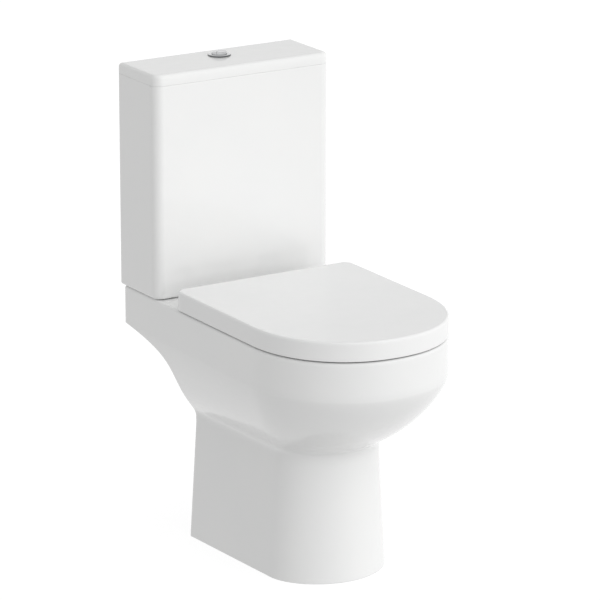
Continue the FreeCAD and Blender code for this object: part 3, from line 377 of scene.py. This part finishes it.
def pan_hollow():
    """The space inside the casting, open to the floor and to the back."""
    low = np.linspace(-1, CREASE + WALL - 20, 8)
    high = np.linspace(CREASE + WALL - 18, SKIRT + WALL, 40)
    z = np.concatenate([low, high, [RIM - RIM_DEPTH]])
    source = z - WALL * np.clip(z / (CREASE + WALL), 0, 1)
    return solid("hollow", pan_rings(z, WALL, True, source))


def bowl_rings(z, growth):
    """The bowl: an oval that shrinks from the rim to the round sump, its spread being
    one minus a power of the depth, all to the power's inverse."""
    depth = np.clip((RIM - z) / (RIM - SUMP), 0, 1)
    spread = (1 - depth ** BOWL_POWER) ** (1 / BOWL_POWER)
    half = SUMP_RADIUS + (BOWL_HALF - SUMP_RADIUS) * spread + growth
    front = (SUMP_Y - SUMP_RADIUS) * (1 - spread) + BOWL_FRONT * spread - growth
    back = ((SUMP_Y + SUMP_RADIUS) * (1 - spread) + (BOWL_FRONT + BOWL_LENGTH) * spread
            + growth)
    return oval_rings(z, half, front, (front + back) / 2, back)


def bowl_heights():
    """Heights from the sump to the rim, closest where the bowl turns fastest."""
    return SUMP + (RIM - SUMP) * np.linspace(0, 1, 56) ** 1.7


def trap_line(overrun):
    """Centre line of the trap: down, round the dip, over the weir and out behind."""
    bend, slope = 56.0, 70.0
    steep = math.radians(slope)
    run, rise = bend * math.sin(steep), bend * (1 - math.cos(steep))
    crest, outlet = 282.0, 190.0
    dip = arc((SUMP_Y + bend, SUMP), bend, 180, 270 + slope)
    climb = (crest - rise - dip[-1, 1]) / math.tan(steep)
    crest_y = dip[-1, 0] + climb + run
    over = arc((crest_y, crest - bend), bend, 90 + slope, 90 - slope)
    settle_y = over[-1, 0] + (over[-1, 1] - outlet - rise) / math.tan(steep) + run
    settle = arc((settle_y, outlet + bend), bend, 270 - slope, 270)
    start = np.array([[SUMP_Y, SUMP + 15]])
    end = np.array([[REAR - 62 + overrun, outlet]])
    return np.concatenate([start, dip, over, settle, end])


def flush_line():
    """Centre line of the flushway: forward under the rim from below the cistern."""
    level, elbow = RIM - RIM_DEPTH - 28, 24.0
    turn = arc((VALVE_Y - elbow, level + elbow), elbow, 270, 360)
    return np.concatenate([[[FRONT + 363, level]], turn, [[VALVE_Y, RIM + 2]]])


def make_pan():
    """The casting: outside less hollow, with bowl, trap and flushway walls and ways."""
    pan = cut(pan_outside(), pan_hollow())
    bowl_z = bowl_heights()
    bowl_wall = solid("bowl_wall", bowl_rings(bowl_z, WALL))
    pan = join(pan, within(bowl_wall, pan_outside()), tube(trap_line(0), TRAP_OUTSIDE))
    pan = join(pan, within(tube(flush_line(), FLUSH_OUTSIDE), pan_outside()))
    for side in SIDES:
        x, y = side * FOOT_LUG_X, FOOT_LUG_Y
        pan = join(pan, brick((x - 19, y - 22, 0), (x + 19, y + 22, 12)))
    mouth_in, mouth_rise = quarter_round(MOUTH_ROUND)
    below = bowl_z[bowl_z < RIM - MOUTH_ROUND - 0.5]
    z = np.concatenate([below, RIM - MOUTH_ROUND + mouth_rise[:-1], [RIM + 12]])
    growth = np.concatenate([0 * below, mouth_in[:-1], [mouth_in[-2]]])
    bowl_way = solid("bowl_way", bowl_rings(z, growth))
    pan = cut(pan, bowl_way, tube(trap_line(5), TRAP_WAY), tube(flush_line(), FLUSH_WAY))
    flush_mouth, nut_way, bolt_way, seat_way, floor_way = 28.0, 16.5, 6.0, 8.0, 4.0
    low, high = RIM - RIM_DEPTH - 2, RIM + 2
    holes = [drill(flush_mouth, 0, VALVE_Y, RIM - WALL, high),
             drill(nut_way, INLET_X, TANK_Y, low, high)]
    for side in SIDES:
        holes.append(drill(bolt_way, side * BOLT_X, TANK_Y, low, high))
        holes.append(drill(seat_way, side * HINGE_X, HINGE_Y, low, high))
    pan = cut(pan, *holes)
    return cut(pan, *[drill(floor_way, side * FOOT_LUG_X, FOOT_LUG_Y, -1, 13) for side in SIDES])


# ------------------------------------------------------------------ cistern and its lid
def tank_rings(z, inset):
    """The cistern's outline at each height, drawn in by an inset."""
    return block_rings(z, inset, tank_high[0], tank_low[1], tank_high[1],
                       TANK_CORNER, TANK_BACK_CORNER)


def tank_block(name, low, high, drawn_in, corner):
    """An upright block between two heights, drawn in from the cistern's sides."""
    return solid(name, block_rings([low, high], 0, tank_high[0] - drawn_in,
                                   tank_low[1] + drawn_in, tank_high[1] - drawn_in,
                                   corner, corner))


def make_cistern():
    """The tank, hollow from the top and recessed underneath."""
    low, high, back = tank_low[2], tank_high[2], tank_high[1]
    z, inset = eased(low, high, 4.5, SEAM_EDGE, np.linspace(low + 8, high - 4, 9))
    tank = solid("cistern", tank_rings(z, inset))
    space = tank_block("tank_space", low + 34, high + 5, 11, 6)
    recess = tank_block("tank_recess", low - 2, low + 22, 16, 2)
    tank = cut(tank, space, recess)
    valve_way, inlet_way, bolt_way, screw_way = 31.0, 11.5, 5.5, 4.0
    floor = (low + 20, low + 36)
    holes = [drill(valve_way, 0, VALVE_Y, *floor), drill(inlet_way, INLET_X, TANK_Y, *floor)]
    holes += [drill(bolt_way, side * BOLT_X, TANK_Y, *floor) for side in SIDES]
    screw_x, screw_drop = 90.0, 48.0
    for side in SIDES:
        hole = turned_rings([(screw_way, back - 13), (screw_way, back + 2)], side * screw_x, 0, 40)
        hole = np.stack([hole[..., 0], hole[..., 2], high - screw_drop + hole[..., 1]], axis=-1)
        holes.append(solid("wall_hole", hole))
    return cut(tank, *holes)


def make_cistern_lid():
    """The cistern's lid: a rounded slab, hollow below, with a lip round the hollow."""
    top, bottom = cover_high[2], tank_high[2] + SEAM
    z, inset = eased(bottom, top, SEAM_EDGE, 8.0, [bottom + 6])
    slab = solid("cistern_lid", tank_rings(z, inset))
    slab = join(slab, tank_block("lip", cover_low[2], bottom + 2, 13, 4))
    under = tank_block("under", cover_low[2] - 2, top - 10, 19, 2)
    button_way = drill(16.8, 0, BUTTON_Y, bottom - 2, top + 2, 96)
    return cut(slab, under, button_way)


# ------------------------------------------------------------------ push button
def make_bezel():
    """The button's collar: a neck through the lid under a low rounded flange."""
    top, seat, low = bezel_high[2], cover_high[2], bezel_low[2]
    outer, crown, neck, bore = bezel_high[0], 17.6, 16.5, 13.3
    turn = np.linspace(0, np.pi / 2, 12)
    flange = np.stack([crown + (outer - crown) * np.cos(turn),
                       seat + 0.5 + (top - seat - 0.5) * np.sin(turn)], axis=-1)
    roll = np.stack([bore + (crown - 0.6 - bore) * (1 - np.sin(turn)),
                     top - 2.2 * (1 - np.cos(turn))], axis=-1)
    foot = [(neck, low), (neck, seat + 0.2), (outer - 0.3, seat), (outer, seat + 0.2)]
    profile = np.concatenate([foot, flange, roll, [(bore, low)]])
    grid = turned_rings(np.concatenate([profile, profile[:1]]), 0, BUTTON_Y)
    return skin("button_bezel", grid)


def button_disc(name):
    """The round button's whole outside, a little domed."""
    low, top, radius, edge = button_low[2], button_high[2], BUTTON_RADIUS, 1.1
    flat, dome_rise = radius - edge, 0.4
    turn = np.linspace(0, np.pi / 2, 7)
    shoulder = np.stack([flat + edge * np.cos(turn),
                         top - dome_rise - edge + edge * np.sin(turn)], axis=-1)
    inward = np.linspace(0.9, 0.05, 8)[:, None] * flat
    dome = np.hstack([inward, top - dome_rise * (inward / flat) ** 2])
    profile = np.concatenate([[(radius, low)], shoulder, dome])
    return solid(name, turned_rings(profile, 0, BUTTON_Y))


def make_button(name, small):
    """The small front part of the button, or the crescent that holds it."""
    radius = SMALL_RADIUS if small else SMALL_RADIUS + 0.3
    cutter = drill(radius, 0, SMALL_Y, button_low[2] - 2, button_high[2] + 2, 96)
    return within(button_disc(name), cutter) if small else cut(button_disc(name), cutter)


# ------------------------------------------------------------------ seat
def seat_rings(z, inset):
    """The seat's D outline, drawn in by an inset."""
    z, inset = np.atleast_1d(np.asarray(z, float)), np.asarray(inset, float)
    half = lid_high[0] - inset
    return d_rings(z, half, half, FRONT + NOSE_LENGTH, FRONT + inset, HINGE_Y + 10 - inset,
                   np.maximum(SEAT_CORNER - inset, 2), RIM_FULLNESS)


def lug(near, far, top):
    """A round lug on the hinge line, and the web that holds it from above."""
    return [hinge_rod(LUG_RADIUS, near, far),
            brick((near, HINGE_Y - WEB_HALF, HINGE_Z), (far, HINGE_Y + WEB_HALF, top))]


def make_seat_lid():
    """The wrap-over lid: a shell with hinge lugs and a damper case at the back."""
    low, top, wall = lid_low[2], lid_high[2], 5.0
    z, inset = eased(low, top, 1.2, 4.5, np.linspace(low + 4, top - 8, 5))
    lid = solid("seat_lid", seat_rings(z, inset))
    z, inset = eased(low - 6, top - wall, 1.0, 2.5, [low + 5])
    inside = solid("inside", seat_rings(z, inset + wall))
    heel = cut(brick((-BEYOND, HINGE_Y, low - 1), (BEYOND, HINGE_Y + 60, HINGE_Z)),
               hinge_rod(HEEL_RADIUS, -BEYOND - 1, BEYOND + 1))
    reach = LUG_SPANS["ring"][1] + 8
    doorway = brick((-reach, HINGE_Y, low - 1), (reach, HINGE_Y + 40, top - wall))
    lid = cut(lid, inside, heel, doorway)
    web_top = top - wall + 0.5
    lugs = []
    for side in SIDES:
        near, far = sorted(side * x for x in LUG_SPANS["lid"])
        lugs += lug(near, far, web_top)
    case, stop = LUG_SPANS["damper"]
    lugs += lug(case, stop + 0.5, web_top)
    lid = join(lid, *lugs)
    return cut(lid, hinge_rod(PIN_BORE, -67.6, -52.4), hinge_rod(PIN_BORE, case - 1, 67.6),
               hinge_rod(DAMPER_BORE, case - 1, stop))


def make_seat_ring():
    """The ring: rounded all round, with arms at the back that reach the hinge pins."""
    top, low = RING_TOP, RING_TOP - RING_THICKNESS
    z, inset = eased(low, top, 2.0, 5.0, [low + 5, low + 8])
    ring = solid("seat_ring", seat_rings(z, inset + RING_INSET))
    front, half = FRONT + 52, 113.0
    back = front + 318
    under_edge, upper_edge = 2.0, 6.0
    foot_in, foot_rise = quarter_round(under_edge)
    head_in, head_rise = quarter_round(upper_edge)
    z = np.concatenate([[low - 2], (low + under_edge - foot_rise)[::-1],
                        top - upper_edge + head_rise[:-1], [top + 3]])
    growth = np.concatenate([[foot_in[-2]], np.minimum(foot_in, foot_in[-2])[::-1],
                             head_in[:-1], [head_in[-2]]])
    opening = oval_rings(z, half + growth, front - growth, back - half, back + growth)
    heel = brick((-BEYOND, HINGE_Y - 14, low - 10), (BEYOND, HINGE_Y + 86, top + 10))
    ring = cut(ring, solid("opening", opening), heel)
    near, far = LUG_SPANS["ring"]
    spans = [(near, far), (-far, -near), (-51.5, -20.5)]
    for near, far in spans:
        arm = brick((near, HINGE_Y - 22, low + 1), (far, HINGE_Y, low + 13))
        ring = join(ring, arm, hinge_rod(LUG_RADIUS, near, far))
    bores = [hinge_rod(PIN_BORE, near - 1, far + 1) for near, far in spans[:2]]
    return cut(ring, *bores, hinge_rod(DAMPER_BORE, -52.5, -19.5))


# ------------------------------------------------------------------ materials
class Value:
    """A shader value: arithmetic on it adds Math nodes."""

    def __init__(self, look, output):
        self.look, self.output = look, output

    def join(self, operation, first, second):
        made = self.look.node("Math", {"operation": operation}, {0: first, 1: second})
        return Value(self.look, made.outputs[0])

    def __add__(self, other):
        return self.join("ADD", self, other)

    def __sub__(self, other):
        return self.join("SUBTRACT", self, other)

    def __mul__(self, other):
        return self.join("MULTIPLY", self, other)

    def __pow__(self, other):
        return self.join("POWER", self, other)

    __radd__, __rmul__ = __add__, __mul__


class Look:
    """A material with one Principled shader and the nodes that feed it."""

    def __init__(self, name, **constants):
        self.material = bpy.data.materials.new(name)
        self.material.use_nodes = True
        self.tree = self.material.node_tree
        self.tree.nodes.clear()
        self.shader = self.node("BsdfPrincipled", sockets=constants)
        out = self.node("OutputMaterial")
        self.tree.links.new(self.shader.outputs[0], out.inputs["Surface"])
        self.place = Value(self, self.node("TexCoord").outputs["Object"])

    def node(self, kind, settings=None, sockets=None):
        """A node of a kind, with its settings, then the values or links of its sockets."""
        made = self.tree.nodes.new("ShaderNode" + kind)
        for key, setting in (settings or {}).items():
            setattr(made, key, setting)
        for key, feed in (sockets or {}).items():
            port = made.inputs[key]
            if isinstance(feed, Value):
                self.tree.links.new(feed.output, port)
            else:
                port.default_value = feed
        return made

    def noise(self, size, detail=2.0, stretch=None):
        """Noise from 0 to 1 whose features are about the given size in metres."""
        place = self.place
        if stretch:
            moved = self.node("Mapping", sockets={"Vector": place, "Scale": stretch})
            place = Value(self, moved.outputs[0])
        made = self.node("TexNoise", sockets={"Vector": place, "Scale": 1 / size, "Detail": detail})
        return Value(self, made.outputs["Fac"])

    def ramp(self, amount, low, high):
        """A smooth share from 0 at one amount to 1 at another."""
        made = self.node("MapRange", {"interpolation_type": "SMOOTHSTEP"},
                         {"Value": amount, "From Min": low, "From Max": high})
        return Value(self, made.outputs[0])

    def line(self, distance, at, width):
        """A share that is 1 on a circle of a radius in millimetres and fades either side."""
        off = distance - at / MM
        return self.ramp(off.join("ABSOLUTE", off, 0.0), width / MM, 0.0)

    def most(self, first, second):
        """The larger of two values."""
        return first.join("MAXIMUM", first, second)

    def between(self, share, first, second):
        """A colour between two, by a share; each is plain, or a value that varies."""
        first, second = (colour if isinstance(colour, Value) else (*colour, 1)
                         for colour in (first, second))
        made = self.node("Mix", {"data_type": "RGBA"}, {"Factor": share, 6: first, 7: second})
        return Value(self, made.outputs[2])

    def bump(self, height, depth, strength=1.0):
        """A surface normal from a height field, deep by the given metres."""
        made = self.node("Bump", sockets={"Height": height, "Distance": depth, "Strength": strength})
        return Value(self, made.outputs[0])

    def feed(self, **sockets):
        """Links values to the shader's sockets, underscores standing for spaces."""
        for key, value in sockets.items():
            self.tree.links.new(value.output, self.shader.inputs[key.replace("_", " ")])
        return self.material


def china():
    """Vitreous china: white body under clear glaze that pools and ripples very slightly."""
    look = Look("glazed_china", **{"IOR": 1.5, "Coat Weight": 0.6, "Coat Roughness": 0.02,
                                   "Coat IOR": 1.5})
    drift, ripple, peel = look.noise(0.16, 3), look.noise(0.035, 1), look.noise(0.0035, 2)
    colour = look.between(drift, (0.835, 0.84, 0.84), (0.875, 0.875, 0.865))
    return look.feed(Base_Color=colour, Roughness=0.10 + 0.08 * look.noise(0.02, 4),
                     Normal=look.bump(ripple * 0.9 + peel * 0.05, 0.00035))


def seat_plastic():
    """Moulded thermoset: white, glossy, with a faint flow pattern."""
    look = Look("seat_thermoset", **{"IOR": 1.5, "Coat Weight": 0.3, "Coat Roughness": 0.06})
    colour = look.between(look.noise(0.12, 3), (0.845, 0.85, 0.85), (0.88, 0.88, 0.875))
    return look.feed(Base_Color=colour, Roughness=0.16 + 0.08 * look.noise(0.015, 4),
                     Normal=look.bump(look.noise(0.05, 1) + 0.04 * look.noise(0.002, 2), 0.0002))


def plated(name, first, second, rough, streak=None):
    """Polished metal whose colour and polish vary a little, drawn out along a streak."""
    look = Look(name, Metallic=1.0)
    grain = look.noise(0.004, 3, streak)
    return look.feed(Base_Color=look.between(look.noise(0.01, 3), first, second),
                     Roughness=rough + 0.1 * grain, Normal=look.bump(grain, 0.00002))


def chrome():
    """Bright plate on the push button, with painted shade: near-black lines in the gaps of its
    joints and where its collar meets the lid.
    """
    look = Look("chrome", Metallic=1.0)
    spot = look.node("SeparateXYZ", sockets={0: look.place})
    x, y = Value(look, spot.outputs[0]), Value(look, spot.outputs[1])
    from_middle = (x * x + (y - BUTTON_Y / MM) ** 2) ** 0.5
    from_small = (x * x + (y - SMALL_Y / MM) ** 2) ** 0.5
    inside = look.ramp(from_middle, BUTTON_RADIUS / MM, BUTTON_RADIUS / MM - 0.0004)
    # painted shade along the gap round the button; it also greys the button's side
    seam = look.line(from_middle, BUTTON_RADIUS + 0.55, 0.8)
    # painted shade where the collar's flange meets the lid
    foot = look.ramp(from_middle, bezel_high[0] / MM - 0.0012, bezel_high[0] / MM - 0.0003)
    # painted shade in the gap between the small part and the crescent
    split = look.line(from_small, SMALL_RADIUS + 0.15, 0.6) * inside
    # the painted shade: whichever of the three lines is strongest
    painted_shade = look.most(look.most(seam, foot), split)
    bright = look.between(look.noise(0.006, 3), (0.80, 0.81, 0.82), (0.88, 0.88, 0.89))
    # the painted shade turns the plate near-black along those lines
    colour = look.between(painted_shade, bright, (0.14, 0.145, 0.15))
    grain = look.noise(0.004, 3)
    return look.feed(Base_Color=colour, Roughness=0.08 + 0.08 * grain,
                     Normal=look.bump(grain, 0.00001))


def rubber(name, first, second):
    """Moulded rubber with a dull bloom."""
    look = Look(name, **{"IOR": 1.45})
    return look.feed(Base_Color=look.between(look.noise(0.008, 4), first, second),
                     Roughness=0.55 + 0.2 * look.noise(0.003, 3),
                     Normal=look.bump(look.noise(0.0012, 3), 0.00004))


def moulded(name, first, second, rough=0.3):
    """Injection moulded plastic with a fine texture."""
    look = Look(name, **{"IOR": 1.49})
    return look.feed(Base_Color=look.between(look.noise(0.02, 3), first, second),
                     Roughness=rough + 0.12 * look.noise(0.005, 3),
                     Normal=look.bump(look.noise(0.001, 2), 0.00003))


FINISHES = {
    "vitreous_china": china(),
    "seat_thermoset": seat_plastic(),
    "chrome": chrome(),
    "stainless_steel": plated("stainless_steel", (0.52, 0.52, 0.53), (0.62, 0.62, 0.62), 0.22,
                              (1, 1, 0.15)),
    "brass": plated("brass", (0.62, 0.44, 0.18), (0.72, 0.54, 0.25), 0.2),
    "black_rubber": rubber("black_rubber", (0.012, 0.012, 0.013), (0.03, 0.03, 0.03)),
    "clear_rubber": rubber("clear_rubber", (0.62, 0.63, 0.62), (0.74, 0.74, 0.72)),
    "white_plastic": moulded("white_plastic", (0.74, 0.75, 0.75), (0.82, 0.82, 0.81)),
    "grey_plastic": moulded("grey_plastic", (0.22, 0.23, 0.24), (0.30, 0.31, 0.32)),
    "blue_plastic": moulded("blue_plastic", (0.05, 0.16, 0.42), (0.08, 0.22, 0.52)),
}


SHARP_ANGLE = math.radians(32)


def show(piece, body, slot, node):
    """Finishes a piece: smooth but for its corners, in its finish, riding on its body."""
    mesh = piece.data
    mesh.name = piece.name
    mesh.materials.clear()
    mesh.materials.append(FINISHES[slot])
    mesh.shade_smooth()
    mesh.set_sharp_from_angle(angle=SHARP_ANGLE)
    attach(piece, body)
    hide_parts(node)


# ------------------------------------------------------------------ pieces
show(make_pan(), "toilet", "vitreous_china", "pan")
show(make_cistern(), "toilet", "vitreous_china", "cistern")
show(make_cistern_lid(), "cistern_lid", "vitreous_china", "cistern_lid")
show(make_seat_lid(), "seat_lid", "seat_thermoset", "seat_lid")
show(make_seat_ring(), "seat_ring", "seat_thermoset", "seat_ring")
show(make_bezel(), "cistern_lid", "chrome", "button_bezel")
show(make_button("full_flush_button", False), "full_flush_button", "chrome", "full_flush_button")
show(make_button("half_flush_button", True), "half_flush_button", "chrome", "half_flush_button")

for node_name, node_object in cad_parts.items():
    for material_slot in node_object.material_slots:
        slot_name = material_slot.material.name.split(".")[0]
        if slot_name in FINISHES:
            material_slot.material = FINISHES[slot_name]
        else:
            print("no finish for", node_name, slot_name)

# ------------------------------------------------------------------ floor and light
# The studio: a white floor that turns up into a round wall.  It shows to the camera and
# in the glaze, and leaves the light on the object to the lamp and the sky.
STUDIO_RADIUS, SWEEP_RADIUS, WALL_HEIGHT, FLOOR_DROP = 14.0, 3.0, 9.0, 0.0004
rise = np.linspace(0, np.pi / 2, 13)
sweep_line = np.stack([STUDIO_RADIUS - SWEEP_RADIUS + SWEEP_RADIUS * np.sin(rise),
                       SWEEP_RADIUS * (1 - np.cos(rise))], axis=-1)
studio_line = np.concatenate([[(0.01, 0), (2, 0), (6, 0)], sweep_line,
                              [(STUDIO_RADIUS, WALL_HEIGHT)]])
studio_grid = turned_rings(studio_line, 0, 0)
studio_grid[..., 2] -= FLOOR_DROP
floor = skin("floor", studio_grid * MM)
floor_look = Look("floor", **{"Roughness": 0.9, "Emission Strength": 0.88})
spot = floor_look.node("SeparateXYZ", sockets={0: floor_look.place})
wall_share = floor_look.ramp(Value(floor_look, spot.outputs[2]), 0.0, SWEEP_RADIUS)
floor_look.feed(
    Emission_Color=floor_look.between(wall_share, (1, 1, 1), (0.74, 0.74, 0.74)),
    Base_Color=floor_look.between(floor_look.noise(0.6, 2), (0.15, 0.15, 0.15), (0.17, 0.17, 0.17)))
floor.data.materials.append(floor_look.material)
floor.visible_diffuse = False
floor.visible_shadow = False

world = bpy.data.worlds.new("studio")
world.use_nodes = True
sky = world.node_tree.nodes["Background"]
sky.inputs["Color"].default_value = (1, 1, 1, 1)
sky.inputs["Strength"].default_value = 0.54
scene.world = world

LAMP_HEADING = Vector((-0.38, 0.74, -0.50))
sun = bpy.data.objects.new("softbox", bpy.data.lights.new("softbox", "SUN"))
sun.data.energy, sun.data.angle = 1.85, math.radians(100)
sun.visible_glossy = False
sun.rotation_mode = "QUATERNION"
sun.rotation_quaternion = LAMP_HEADING.to_track_quat("-Z", "Y")
scene.collection.objects.link(sun)
scene.view_settings.view_transform = "Standard"
scene.view_settings.look = "None"
